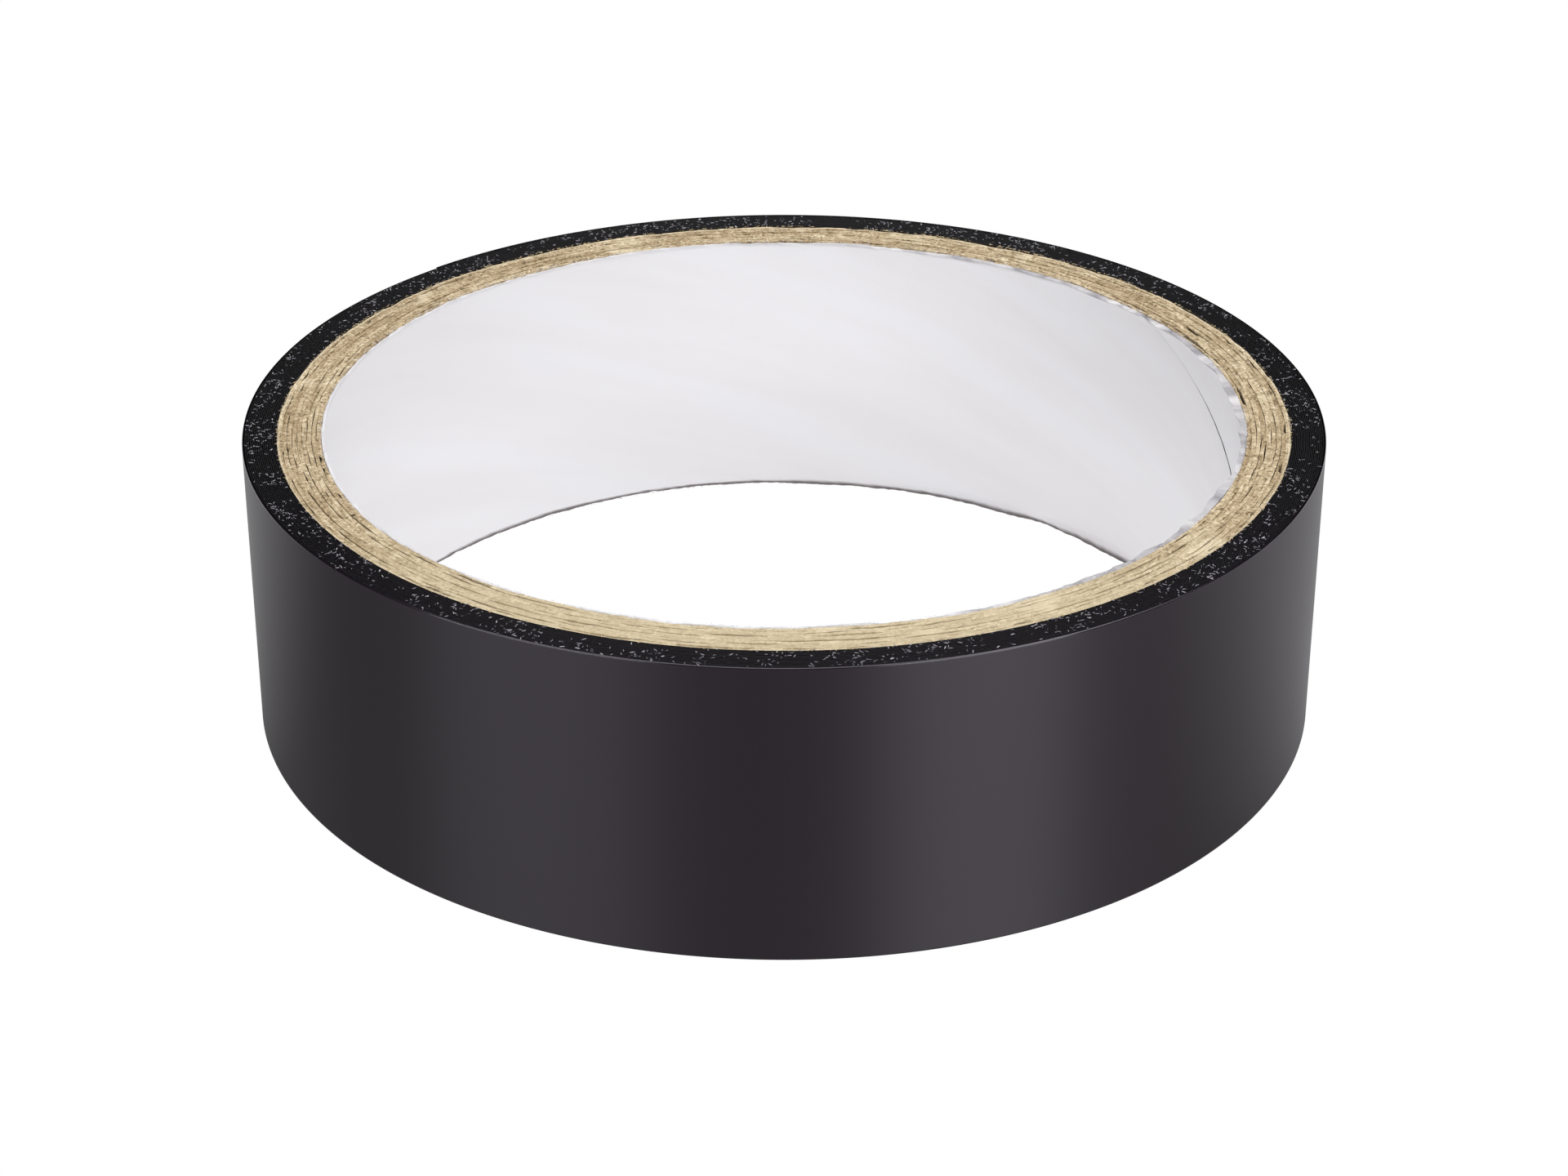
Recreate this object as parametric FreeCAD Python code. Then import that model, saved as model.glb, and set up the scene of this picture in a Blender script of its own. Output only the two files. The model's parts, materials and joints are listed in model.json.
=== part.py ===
"""Roll of black insulating tape on a spiral-wound paperboard core.

The roll lies flat on its end: +Z is the axis of the core, and the origin is on that axis in the plane
that the roll rests on. Core and tape were wound as one long log and sliced together, so both ends are flush.

The core is a white liner paper inside kraft plies. Each paper is one strip wound as a helix, whose own
edges butt together along a slanting seam. The tape is one strip of film wound as a flat spiral. Its last
full turn before the lead is a solid of its own, and the lead is the end that a hand peels off. Film can't
bend in rigid bodies, so the lead is a row of short links, each hinged to the one before it at the film's
outer face.
"""

import FreeCAD
import Part
import math
import os

Vector = FreeCAD.Vector
AXIS = Vector(0, 0, 1)

# Roll, in millimetres
ROLL_WIDTH = 25.0           # width of the tape, and length of the core
BORE_RADIUS = 38.1          # the 3 inch bore that dispensers and spindles fit

# Core papers
LINER_THICKNESS = 0.18
PLY_THICKNESS = 0.38
PLY_COUNT = 9
GLUE_LINE = 0.02            # dried glue between two papers
SEAM_ANGLE = 20.0           # degrees between a paper's edge and the way round the core
SEAM_GAP = 0.5              # space left between a paper's two edges, measured along the core
LINER_SEAM_AT = 34.0        # degrees round the core where the liner's seam meets the top face
SEAM_STEP = 88.0            # degrees from one paper's seam to the next, so that seams never line up

# Tape
FILM_THICKNESS = 0.13
ADHESIVE_THICKNESS = 0.02   # the soft coat that fills the space between two turns
TURN_COUNT = 19
TAPE_END_AT = 135.0         # degrees round the roll where the tape ends

# Lead
LEAD_LINKS = 10
LINK_ANGLE = 9.0            # degrees of the roll that one link covers

# A cutter reaches this far past what it cuts
CUT_MARGIN = 0.1


def turned(degrees):
    """The unit vector at that angle round the core."""
    angle = math.radians(degrees)
    return Vector(math.cos(angle), math.sin(angle), 0)


def ring(inner_radius, thickness):
    """A plain tube as long as the roll is wide."""
    outside = Part.makeCylinder(inner_radius + thickness, ROLL_WIDTH)
    return outside.cut(Part.makeCylinder(inner_radius, ROLL_WIDTH))


def seam_cutter(inner_radius, thickness, top_angle):
    """A thin helical blade that parts a ring along a slanting seam, which meets the top face at top_angle."""
    radius = inner_radius + thickness / 2
    pitch = 2 * math.pi * radius * math.tan(math.radians(SEAM_ANGLE))
    run_out = SEAM_GAP + CUT_MARGIN
    height = ROLL_WIDTH + 2 * run_out
    spine = Part.makeHelix(pitch, height, radius)
    low, high = radius - thickness / 2 - CUT_MARGIN, radius + thickness / 2 + CUT_MARGIN
    half = SEAM_GAP / 2
    corners = [(low, -half), (high, -half), (high, half), (low, half), (low, -half)]
    profile = Part.makePolygon([Vector(x, 0, z) for x, z in corners])
    blade = spine.makePipeShell([profile], True, True)
    blade.translate(AXIS * -run_out)
    turn_to_top = 360 * (ROLL_WIDTH + run_out) / pitch
    blade.rotate(Vector(0, 0, 0), AXIS, top_angle - turn_to_top)
    return blade


def paper(inner_radius, thickness, top_angle):
    """One paper of the core: a strip wound as a helix, so its wall is open along the seam."""
    return ring(inner_radius, thickness).cut(seam_cutter(inner_radius, thickness, top_angle))


def core_papers():
    """Every paper from the bore outwards, by node name, and the core's outer radius."""
    papers = {"core_liner": paper(BORE_RADIUS, LINER_THICKNESS, LINER_SEAM_AT)}
    radius = BORE_RADIUS + LINER_THICKNESS
    for number in range(1, PLY_COUNT + 1):
        radius += GLUE_LINE
        name = f"core_ply_{number:02d}"
        papers[name] = paper(radius, PLY_THICKNESS, LINER_SEAM_AT + number * SEAM_STEP)
        radius += PLY_THICKNESS
    return papers, radius


class Spiral:
    """The film's path: half turns of circle about two centres, which join smoothly and grow by one
    turn's thickness each time round. A place on it is its winding angle, the degrees wound so far
    since the start of the tape at the core."""

    def __init__(self, core_radius):
        self.first_radius = core_radius + ADHESIVE_THICKNESS
        self.growth = (FILM_THICKNESS + ADHESIVE_THICKNESS) / 2
        self.start_angle = TAPE_END_AT - 360 * TURN_COUNT

    def centre(self, half_turn):
        return turned(TAPE_END_AT) * (self.growth if half_turn % 2 else 0)

    def radius(self, half_turn, outer):
        return self.first_radius + half_turn * self.growth + (FILM_THICKNESS if outer else 0)

    def arc(self, half_turn, outer, sweep_from, sweep_to):
        """An edge along one wall of the film, over part of a half turn."""
        begin = self.start_angle + 180 * half_turn
        circle = Part.Circle(self.centre(half_turn), AXIS, self.radius(half_turn, outer))
        ends = [math.radians((begin + sweep) % 360) for sweep in (sweep_from, sweep_to)]
        if ends[1] <= ends[0]:
            ends[1] += 2 * math.pi
        return Part.ArcOfCircle(circle, *ends).toShape()

    def wall(self, outer, start, end):
        """The edges along one wall of the film, from one winding angle to another."""
        edges = []
        for half_turn in range(int(start // 180), math.ceil(end / 180)):
            passed = 180 * half_turn
            edges.append(self.arc(half_turn, outer, max(start - passed, 0), min(end - passed, 180)))
        return edges

    def strip(self, start, end):
        """A solid of film from one winding angle to another."""
        walls = [self.wall(outer, start, end) for outer in (False, True)]
        starts = [wall[0].valueAt(wall[0].FirstParameter) for wall in walls]
        ends = [wall[-1].valueAt(wall[-1].LastParameter) for wall in walls]
        caps = [Part.makeLine(*starts), Part.makeLine(*ends)]
        outline = Part.Wire(Part.__sortEdges__(walls[0] + walls[1] + caps))
        return Part.Face(outline).extrude(AXIS * ROLL_WIDTH)

    def hinge(self, at):
        """The point on the film's outer face at that winding angle."""
        half_turn = int(at // 180)
        return self.centre(half_turn) + turned(self.start_angle + at) * self.radius(half_turn, True)


def tape_cuts():
    """Each stretch of the strip, by node name, with the winding angles where it starts and ends."""
    lead_from = 360 * TURN_COUNT - LEAD_LINKS * LINK_ANGLE
    outer_from = lead_from - 360
    cuts = {"tape_winding": (0, outer_from), "tape_outer_turn": (outer_from, lead_from)}
    for link in range(LEAD_LINKS):
        start = lead_from + link * LINK_ANGLE
        cuts[f"tape_lead_{link + 1:02d}"] = (start, start + LINK_ANGLE)
    return cuts


def main():
    os.makedirs("parts", exist_ok=True)
    pieces, core_radius = core_papers()
    spiral = Spiral(core_radius)
    cuts = tape_cuts()
    for name, (start, end) in cuts.items():
        pieces[name] = spiral.strip(start, end)
    for name, shape in pieces.items():
        if not shape.isValid() or len(shape.Solids) != 1:
            raise ValueError(f"{name} is not one sound solid")
        shape.exportStep(f"parts/{name}.step")
        print(f"{name:15s} {shape.Volume:10.3f} mm3")
    roll_radius = spiral.radius(2 * TURN_COUNT - 1, True)
    wound_area = math.pi * (roll_radius ** 2 - core_radius ** 2)
    print(f"core outer radius {core_radius:.3f}, roll outer radius {roll_radius:.3f}")
    print(f"tape length {wound_area / (FILM_THICKNESS + ADHESIVE_THICKNESS) / 1000:.2f} m")
    for name, (start, end) in cuts.items():
        if name.startswith("tape_lead"):
            point = spiral.hinge(start)
            print(f"hinge of {name}: {point.x:.5f}, {point.y:.5f}")


main()
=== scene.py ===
"""A roll of black insulating tape on a spiral paperboard core with a white liner.

Each section builds one piece, or a group of like pieces, in the order in which the roll is made: the
papers of the core from the bore outwards, then the film wound on it, then the loose lead that peels off.
"""

import json
import math

import bpy
from mathutils import Matrix, Vector


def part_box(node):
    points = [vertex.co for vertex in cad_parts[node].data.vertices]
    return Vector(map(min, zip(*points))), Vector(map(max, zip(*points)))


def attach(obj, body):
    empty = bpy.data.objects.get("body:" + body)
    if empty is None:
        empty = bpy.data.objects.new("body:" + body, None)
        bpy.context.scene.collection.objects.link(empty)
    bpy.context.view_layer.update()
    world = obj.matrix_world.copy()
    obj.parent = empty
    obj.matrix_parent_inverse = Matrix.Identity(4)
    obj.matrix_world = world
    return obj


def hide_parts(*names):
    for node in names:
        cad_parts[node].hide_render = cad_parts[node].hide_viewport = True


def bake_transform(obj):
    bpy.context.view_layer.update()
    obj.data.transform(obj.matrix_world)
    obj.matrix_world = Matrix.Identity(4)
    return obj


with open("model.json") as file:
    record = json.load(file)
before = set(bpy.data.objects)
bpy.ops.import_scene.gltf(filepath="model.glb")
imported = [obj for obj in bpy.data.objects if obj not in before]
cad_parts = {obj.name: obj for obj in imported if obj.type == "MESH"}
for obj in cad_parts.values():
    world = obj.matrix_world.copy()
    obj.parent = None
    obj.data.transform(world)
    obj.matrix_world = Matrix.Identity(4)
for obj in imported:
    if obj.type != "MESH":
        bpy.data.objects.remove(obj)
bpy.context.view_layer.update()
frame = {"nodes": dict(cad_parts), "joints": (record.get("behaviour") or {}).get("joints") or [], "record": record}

MM = 0.001
record = frame["record"]
scene = bpy.context.scene


# Camera: it stands in front of the roll, a little over three diameters away, and looks down on it, so
# that the front, the sliced end and the far wall of the bore all show.
CAMERA_DISTANCE = 268.15 * MM
CAMERA_HEIGHT = 147.02 * MM
CAMERA_PITCH = math.radians(27.33)
SENSOR_WIDTH_MM = 36
LENS_MM = 81.15
camera = bpy.data.objects.new("camera", bpy.data.cameras.new("camera"))
camera.data.sensor_width = SENSOR_WIDTH_MM
camera.data.lens = LENS_MM
camera.data.clip_start = 0.01
camera.location = (0, -CAMERA_DISTANCE, CAMERA_HEIGHT)
camera.rotation_euler = (math.pi / 2 - CAMERA_PITCH, 0, 0)
scene.collection.objects.link(camera)
scene.camera = camera
scene.view_settings.view_transform = "Standard"


# Studio: a seamless table of opal acrylic that is lit from inside, so that nothing casts a shadow on it.
# Large lamps stand close round it, and the room glows overhead. The table looks white all over, but
# throws most of its light up through the bore and from behind the roll.
def add(tree, kind, *inputs, named=(), stops=(), **settings):
    """One node, with its settings. Inputs are values, or nodes or sockets to link, in the sockets' order;
    named holds those that are easier to name, and stops a colour ramp's places and hex colours."""
    node = tree.nodes.new(kind)
    for setting, value in settings.items():
        setattr(node, setting, value)
    for number, (place_on_ramp, colour) in enumerate(stops):
        marks = node.color_ramp.elements
        mark = marks[number] if number < len(marks) and number < 2 else marks.new(place_on_ramp)
        mark.position, mark.color = place_on_ramp, linear(colour)
    for key, value in [*enumerate(inputs), *dict(named).items()]:
        source = value.outputs[0] if isinstance(value, bpy.types.Node) else value
        if isinstance(source, bpy.types.NodeSocket):
            tree.links.new(source, node.inputs[key])
        elif source is not None:
            node.inputs[key].default_value = source
    return node


def linear(hex_colour):
    """An sRGB hex colour as linear red, green, blue and alpha."""
    channels = [int(hex_colour[at:at + 2], 16) / 255 for at in (1, 3, 5)]
    return [c / 12.92 if c <= 0.04045 else ((c + 0.055) / 1.055) ** 2.4 for c in channels] + [1.0]


MAP_RANGE = "ShaderNodeMapRange"
FLOOR_SIZE = 4.0
FLOOR_DROP = 0.02 * MM
LIGHT_PATCH_RADIUS = 38 * MM
LIGHT_PATCH_BLUR = 1 * MM
PATCH_GLOW = 1.33
TABLE_GLOW = 0.43
FAR_GLOW = 1.2
GLOW_GROWS_ALONG = (0.2, 1.0, 0.0)
GLOW_GROWS_FROM = -25 * MM
GLOW_GROWS_TO = 15 * MM
table_mesh = bpy.data.meshes.new("white_table")
corners = [(x * FLOOR_SIZE, y * FLOOR_SIZE, -FLOOR_DROP) for x, y in ((-1, -1), (1, -1), (1, 1), (-1, 1))]
table_mesh.from_pydata(corners, [], [(0, 1, 2, 3)])
white_table = bpy.data.objects.new("white_table", table_mesh)
scene.collection.objects.link(white_table)
opal = bpy.data.materials.new("lit_opal_acrylic")
opal.use_nodes = True
tree = opal.node_tree
tree.nodes.clear()
from_centre = add(tree, "ShaderNodeVectorMath", add(tree, "ShaderNodeTexCoord").outputs["Object"],
                  operation="LENGTH").outputs["Value"]
to_far_right = add(tree, "ShaderNodeVectorMath", add(tree, "ShaderNodeTexCoord").outputs["Object"],
                   GLOW_GROWS_ALONG, operation="DOT_PRODUCT").outputs["Value"]
ground = add(tree, MAP_RANGE, to_far_right, GLOW_GROWS_FROM, GLOW_GROWS_TO, TABLE_GLOW, FAR_GLOW)
patch = add(tree, MAP_RANGE, from_centre, LIGHT_PATCH_RADIUS, LIGHT_PATCH_RADIUS + LIGHT_PATCH_BLUR,
            PATCH_GLOW, ground)
is_seen = add(tree, "ShaderNodeLightPath").outputs["Is Camera Ray"]
brightness = add(tree, MAP_RANGE, is_seen, 0.0, 1.0, patch, 1.0)
glow = add(tree, "ShaderNodeEmission", linear("#ffffff"), brightness)
add(tree, "ShaderNodeOutputMaterial", glow)
table_mesh.materials.append(opal)

room = bpy.data.worlds.new("white_room")
room.use_nodes = True
scene.world = room
tree = room.node_tree
tree.nodes.clear()
ROOM_GLOW = 0.02
OVERHEAD_GLOW = 1.9
# a direction's height, which is 1 straight up: the glow starts about 45 degrees above the table
OVERHEAD_FROM = 0.7
upward = add(tree, "ShaderNodeSeparateXYZ", add(tree, "ShaderNodeTexCoord").outputs["Generated"])
overhead = add(tree, MAP_RANGE, upward.outputs["Z"], OVERHEAD_FROM, 1.0, ROOM_GLOW,
               OVERHEAD_GLOW)
is_seen = add(tree, "ShaderNodeLightPath").outputs["Is Camera Ray"]
brightness = add(tree, MAP_RANGE, is_seen, 0.0, 1.0, overhead, 1.0)
add(tree, "ShaderNodeOutputWorld", add(tree, "ShaderNodeBackground", linear("#ffffff"), brightness))


def softbox(name, azimuth, elevation, distance, width, height, power):
    """A rectangular lamp that faces the roll. Azimuth 0 is at the camera, 90 on the right. Angles are in
    degrees, sizes in metres and power in watts."""
    lamp = bpy.data.lights.new(name, "AREA")
    lamp.shape = "RECTANGLE"
    lamp.size, lamp.size_y = width, height
    lamp.energy = power
    holder = bpy.data.objects.new(name, lamp)
    a, e = math.radians(azimuth), math.radians(elevation)
    away = Vector((math.sin(a) * math.cos(e), -math.cos(a) * math.cos(e), math.sin(e)))
    holder.location = away * distance
    holder.rotation_euler = away.to_track_quat("Z", "Y").to_euler()
    scene.collection.objects.link(holder)


softbox("front_left", -50, 25, 0.7, 0.55, 0.30, 2.35)
softbox("front_right", 38, 25, 0.7, 0.45, 0.30, 2.2)
softbox("front_right_low", 38, 8, 0.7, 0.45, 0.18, 0.8)
softbox("right_top", 90, 55, 0.8, 0.50, 0.40, 2.1)
softbox("back", 180, 5, 0.7, 0.60, 0.10, 0.5)
softbox("back_top", 180, 58, 0.8, 0.50, 0.30, 2.4)


# Core papers: long strips of paper, each wound slantwise round a mandrel with its two edges butted, and
# glued over the last. A knife sliced the finished tube, so the cut ends are ragged and lipped.
def grown(name, tree, sizes, crease=40):
    """A plain mesh object made by a tree of geometry nodes with these input values."""
    piece = bpy.data.objects.new(name, bpy.data.meshes.new(name))
    scene.collection.objects.link(piece)
    modifier = piece.modifiers.new("grow", "NODES")
    modifier.node_group = tree
    for socket in tree.interface.items_tree:
        if socket.in_out == "INPUT" and socket.name in sizes:
            modifier[socket.identifier] = sizes[socket.name]
    evaluated = piece.evaluated_get(bpy.context.evaluated_depsgraph_get())
    mesh = bpy.data.meshes.new_from_object(evaluated)
    piece.modifiers.remove(modifier)
    piece.data = mesh
    mesh.name = name
    mesh.shade_smooth()
    mesh.set_sharp_from_angle(angle=math.radians(crease))
    return piece


def new_tree(name, floats=(), whole=(), materials=()):
    """A tree of geometry nodes with these inputs. Returns it, its input node and its output node."""
    tree = bpy.data.node_groups.new(name, "GeometryNodeTree")
    tree.interface.new_socket("Geometry", in_out="OUTPUT", socket_type="NodeSocketGeometry")
    for kind, names in (("Float", floats), ("Int", whole), ("Material", materials)):
        for socket in names:
            tree.interface.new_socket(socket, in_out="INPUT", socket_type="NodeSocket" + kind)
    return tree, add(tree, "NodeGroupInput").outputs, add(tree, "NodeGroupOutput")


MATH = "ShaderNodeMath"
# shares of the height that the torn cut and the lip take, and of the seam's gap where it is shut
CUT_ZONE = 0.05
LIP_ZONE = 0.025
SHUT_SEAM = 0.15
# How often each pattern repeats in a millimetre along the paper, through it and up it. Tufts are about
# 1 mm long and 0.2 mm thick, low stretches 8 mm long, and slits and waves 3 or 4 mm long.
TUFTS_PER_MM = (1.1, 5.0, 0.1)
STEPS_PER_MM = (0.12, 0.0, 0.9)
WAVES_PER_MM = (0.25, 0.0, 0.3)
SLITS_PER_MM = (0.3, 0.0, 0.7)
LIP_TEARS_PER_MM = 0.25
paper, given, result = new_tree(
    "wound_paper",
    floats=("Inner radius", "Thickness", "Width", "Seam at", "Seam slope", "Seam gap", "Seam opens at",
            "Seam shuts at", "Crowding", "Tuft", "Step", "Wander", "Slit", "Lip", "Seed"),
    whole=("Columns", "Layers", "Rows"),
    materials=("Paper",),
)
block = add(paper, "GeometryNodeMeshCube", (1, 1, 1), given["Columns"], given["Layers"], given["Rows"])
place = add(paper, "ShaderNodeSeparateXYZ", add(paper, "GeometryNodeInputPosition"))
around = add(paper, MATH, 0.5, place.outputs["X"], operation="SUBTRACT")
across = add(paper, MATH, place.outputs["Y"], 0.5, operation="ADD")
# rows may crowd towards the two sliced ends
evenly = add(paper, MATH, place.outputs["Z"], 0.5, operation="ADD")
swing = add(paper, MATH, add(paper, MATH, evenly, math.pi, operation="MULTIPLY"), operation="COSINE")
crowded = add(paper, MATH, swing, -0.5, 0.5, operation="MULTIPLY_ADD")
up = add(paper, MAP_RANGE, given["Crowding"], 0.0, 1.0, evenly, crowded)
rise = add(paper, MATH, up, given["Width"], operation="MULTIPLY")
# the strip runs once round, from one side of its seam to the other, and the seam climbs as it goes round
open_seam = add(paper, MAP_RANGE, up, given["Seam opens at"], given["Seam shuts at"], 1.0, SHUT_SEAM,
                interpolation_type="SMOOTHSTEP")
gap = add(paper, MATH, given["Seam gap"], open_seam, operation="MULTIPLY")
gap_turn = add(paper, MATH, gap, given["Seam slope"], operation="MULTIPLY")
run = add(paper, MATH, math.tau, gap_turn, operation="SUBTRACT")
half_gap = add(paper, MATH, gap_turn, 0.5, given["Seam at"], operation="MULTIPLY_ADD")
below_top = add(paper, MATH, rise, given["Width"], operation="SUBTRACT")
seam = add(paper, MATH, below_top, given["Seam slope"], half_gap, operation="MULTIPLY_ADD")
angle = add(paper, MATH, around, run, seam, operation="MULTIPLY_ADD")
# a place on the paper, in millimetres: along it, through it and up it. The seed tells papers apart
arc = add(paper, MATH, add(paper, MATH, around, run, operation="MULTIPLY"), given["Inner radius"],
          operation="MULTIPLY")
depth = add(paper, MATH, across, given["Thickness"], operation="MULTIPLY")
on_paper = add(paper, "ShaderNodeCombineXYZ", arc, depth, rise)
wrap = add(paper, "ShaderNodeVectorMath", on_paper, (1 / MM,) * 3, operation="MULTIPLY")
sown = add(paper, "ShaderNodeCombineXYZ", 0.0, given["Seed"], given["Seed"])
spot = add(paper, "ShaderNodeVectorMath", wrap, sown, operation="ADD")
share = add(paper, "ShaderNodeCombineXYZ", around, across, up)
# how near a point is to either sliced end
at_top = add(paper, MAP_RANGE, up, 1 - CUT_ZONE, 1.0, 0.0, 1.0, interpolation_type="SMOOTHSTEP")
at_foot = add(paper, MAP_RANGE, up, CUT_ZONE, 0.0, 0.0, 1.0, interpolation_type="SMOOTHSTEP")
at_end = add(paper, MATH, at_top, at_foot, operation="ADD")
# the knife tears tufts out of the cut, and one paper is left lower than the next along a stretch
tuft_spot = add(paper, "ShaderNodeVectorMath", spot, TUFTS_PER_MM, operation="MULTIPLY")
tufts = add(paper, "ShaderNodeTexNoise", named={"Vector": tuft_spot, "Scale": 1.0, "Detail": 3.0})
step_spot = add(paper, "ShaderNodeVectorMath", spot, STEPS_PER_MM, operation="MULTIPLY")
steps = add(paper, "ShaderNodeTexNoise", named={"Vector": step_spot, "Scale": 1.0, "Detail": 2.0})
stepped = add(paper, MAP_RANGE, steps, 0.42, 0.58, 0.0, given["Step"], interpolation_type="SMOOTHSTEP")
recess = add(paper, MATH, tufts, given["Tuft"], stepped, operation="MULTIPLY_ADD")
inward = add(paper, MATH, at_foot, at_top, operation="SUBTRACT")
lift = add(paper, MATH, recess, inward, rise, operation="MULTIPLY_ADD")
# the cut ends of the papers spread a little, and here and there one comes away from the next
wave_spot = add(paper, "ShaderNodeVectorMath", spot, WAVES_PER_MM, operation="MULTIPLY")
waves = add(paper, "ShaderNodeTexNoise", named={"Vector": wave_spot, "Scale": 1.0, "Detail": 2.0})
spread = add(paper, MAP_RANGE, waves, 0.3, 0.7, -1.0, 1.0)
slit_spot = add(paper, "ShaderNodeVectorMath", spot, SLITS_PER_MM, operation="MULTIPLY")
slits = add(paper, "ShaderNodeTexNoise", named={"Vector": slit_spot, "Scale": 1.0, "Detail": 2.0})
opened = add(paper, MAP_RANGE, slits, 0.54, 0.66, 0.0, given["Slit"], interpolation_type="SMOOTHSTEP")
shifted = add(paper, MATH, spread, given["Wander"], operation="MULTIPLY")
pinch = add(paper, MATH, opened, across, operation="MULTIPLY")
shift = add(paper, MATH, add(paper, MATH, shifted, pinch, operation="SUBTRACT"), at_end,
            operation="MULTIPLY")
# the knife presses the inner edge of the cut into the bore, most on one side
one_side = add(paper, MATH, angle, operation="COSINE")
lip_side = add(paper, MAP_RANGE, one_side, -0.2, 0.9, 0.15, 1.0)
lip_noise = add(paper, "ShaderNodeTexNoise", named={"Vector": spot, "Scale": LIP_TEARS_PER_MM,
                                                    "Detail": 3.0})
lip_ragged = add(paper, MAP_RANGE, lip_noise, 0.28, 0.6, 0.0, given["Lip"])
lip_share = add(paper, MATH, lip_side, lip_ragged, operation="MULTIPLY")
at_lip = add(paper, MAP_RANGE, up, 1 - LIP_ZONE, 1.0, 0.0, 1.0, interpolation_type="SMOOTHSTEP")
at_lower_lip = add(paper, MAP_RANGE, up, LIP_ZONE, 0.0, 0.0, 1.0, interpolation_type="SMOOTHSTEP")
lipped = add(paper, MATH, at_lip, at_lower_lip, operation="ADD")
inner_side = add(paper, MATH, 1.0, across, operation="SUBTRACT")
lip = add(paper, MATH, add(paper, MATH, lip_share, inner_side, operation="MULTIPLY"), lipped,
          operation="MULTIPLY")
radius = add(paper, MATH, add(paper, MATH, given["Inner radius"], depth, operation="ADD"),
             add(paper, MATH, shift, lip, operation="SUBTRACT"), operation="ADD")
there = add(paper, "ShaderNodeCombineXYZ",
            add(paper, MATH, radius, add(paper, MATH, angle, operation="COSINE"), operation="MULTIPLY"),
            add(paper, MATH, radius, add(paper, MATH, angle, operation="SINE"), operation="MULTIPLY"),
            lift)
marked = add(paper, "GeometryNodeStoreNamedAttribute", block,
             named={"Name": "wrap", "Value": spot}, data_type="FLOAT_VECTOR", domain="POINT")
shared = add(paper, "GeometryNodeStoreNamedAttribute", marked,
             named={"Name": "share", "Value": share}, data_type="FLOAT_VECTOR", domain="POINT")
rolled = add(paper, "GeometryNodeSetPosition", shared, named={"Position": there})
whole = add(paper, "GeometryNodeRealizeInstances", rolled)
dressed = add(paper, "GeometryNodeSetMaterial", whole, named={"Material": given["Paper"]})
paper.links.new(dressed.outputs[0], result.inputs[0])

core_bore = next(mount for mount in record["mounts"] if mount["name"] == "core_bore")
BORE_RADIUS = core_bore["dims"]["r_mm"] * MM
ROLL_WIDTH = core_bore["dims"]["length_mm"] * MM
PLY_COUNT = sum(name.startswith("core_ply") for name in frame["nodes"])
CORE_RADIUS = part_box(f"core_ply_{PLY_COUNT:02d}")[1].x
GLUE_LINE = 0.02 * MM
LINER_THICKNESS = 0.18 * MM
PLY_THICKNESS = (CORE_RADIUS - BORE_RADIUS - LINER_THICKNESS) / PLY_COUNT - GLUE_LINE
SEAM_ANGLE = math.radians(20)
LINER_SEAM_AT = 34.0
SEAM_STEP = 88.0


def paper_sizes(inner_radius, thickness, seam_at, seam_gap, material):
    """The inputs that every paper has."""
    return {
        "Inner radius": inner_radius, "Thickness": thickness, "Width": ROLL_WIDTH,
        "Seam at": math.radians(seam_at), "Seam gap": seam_gap,
        "Seam slope": 1 / ((inner_radius + thickness / 2) * math.tan(SEAM_ANGLE)),
        "Paper": material,
    }


def new_material(name, roughness, ior=1.5):
    """A material with a principled surface. Returns it, its tree and that surface's node."""
    material = bpy.data.materials.new(name)
    material.use_nodes = True
    surface = material.node_tree.nodes["Principled BSDF"]
    surface.inputs["Roughness"].default_value = roughness
    surface.inputs["IOR"].default_value = ior
    return material, material.node_tree, surface


RAMP = "ShaderNodeValToRGB"
MIX_COLOURS = "ShaderNodeMix"
TINT = {"data_type": "RGBA", "blend_type": "MULTIPLY"}
BLEND = {"data_type": "RGBA", "blend_type": "MIX"}
# a colour mix's sockets by number: the colour under, the colour over and the result
UNDER = 6
OVER = 7
MIXED = 2


# Liner: the innermost paper, one strip of bleached and calendered white paper, glued to the first ply.
# Its seam shows as a fine slanting line that is wider near the foot, with painted shadow beside it, its
# cut edge is grey, and painted shadow darkens its lower edge where it stands on the table.
SEAM_OPENS_AT = 0.72
SEAM_FADES_FROM = 0.76
SEAM_SHUTS_AT = 0.9
# Bleached paper: an even white with a dull finish, and a faint felt mark 0.4 mm across. That is coarser
# than its fibres, which are 0.03 mm wide and too fine to show.
CLOUDS_PER_MM = 0.1
EDGE_SPOTS_PER_MM = 0.5
FELT_MARKS_PER_MM = 2.5
liner_white, tree, surface = new_material("bleached_liner_paper", 0.6)
wrap_place = add(tree, "ShaderNodeAttribute", attribute_name="wrap").outputs["Vector"]
share_place = add(tree, "ShaderNodeAttribute", attribute_name="share").outputs["Vector"]
height_share = add(tree, "ShaderNodeSeparateXYZ", share_place).outputs["Z"]
cloud = add(tree, "ShaderNodeTexNoise", named={"Vector": wrap_place, "Scale": CLOUDS_PER_MM, "Detail": 4.0})
white = add(tree, RAMP, cloud, stops=((0.35, "#cfcdcf"), (0.65, "#d2d1d4")))
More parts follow.
